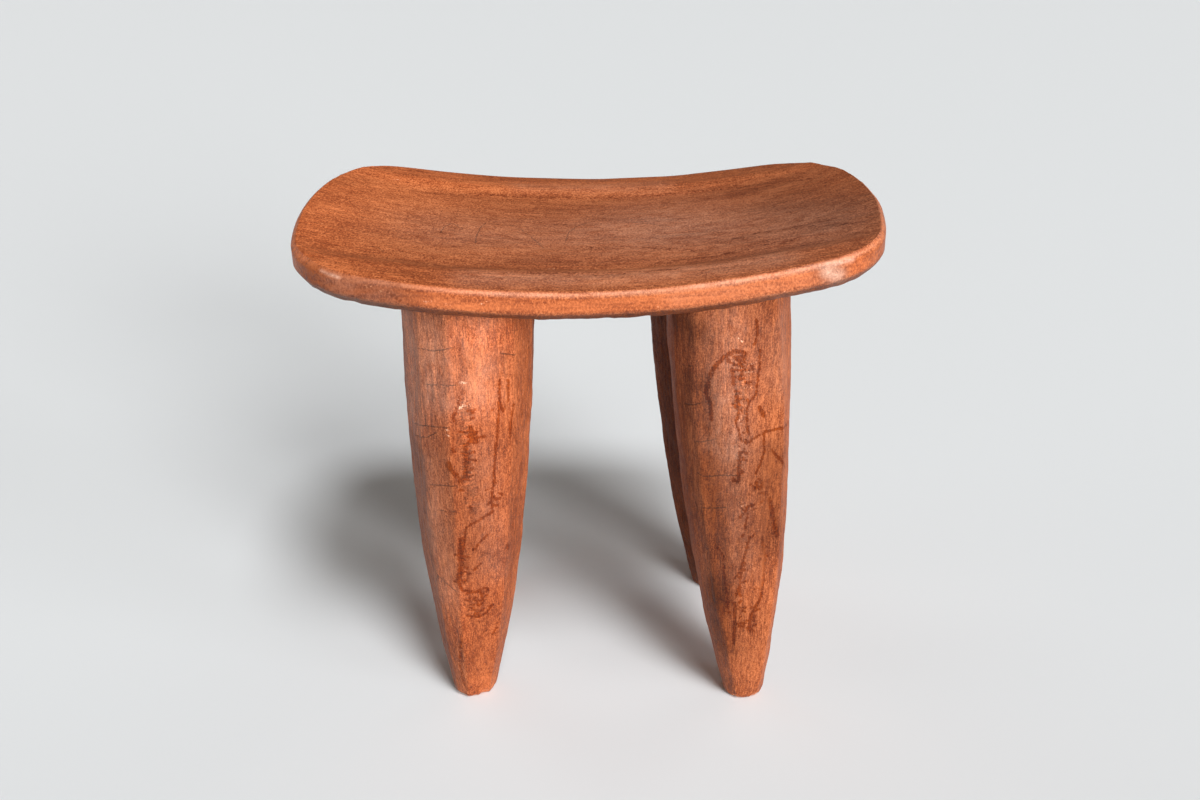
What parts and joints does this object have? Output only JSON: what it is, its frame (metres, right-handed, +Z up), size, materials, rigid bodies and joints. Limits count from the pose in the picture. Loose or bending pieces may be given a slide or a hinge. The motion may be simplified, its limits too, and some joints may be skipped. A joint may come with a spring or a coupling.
{
  "type": "stool",
  "caption": "Low carved wooden stool: a dished rounded-rectangle seat on four thick, faceted, tapering legs joined by blind wedged tenons.",
  "frame": {"origin": "on the floor, at the middle of the stool's length and depth", "axes": "+X runs along the seat to its right end, +Y to its back, +Z up"},
  "size_m": [0.4498, 0.32, 0.4159],
  "materials": {
    "seat_wood": "satin waxed reddish-brown stain",
    "leg_wood": "satin waxed reddish-orange stain",
    "wedge_wood": "bare, as split"
  },
  "bodies": {
    "root": {"seat": "seat_wood", "leg_front_left": "leg_wood", "leg_front_right": "leg_wood", "leg_rear_right": "leg_wood", "leg_rear_left": "leg_wood", "wedge_front_left": "wedge_wood", "wedge_front_right": "wedge_wood", "wedge_rear_right": "wedge_wood", "wedge_rear_left": "wedge_wood"}
  },
  "joints": []
}
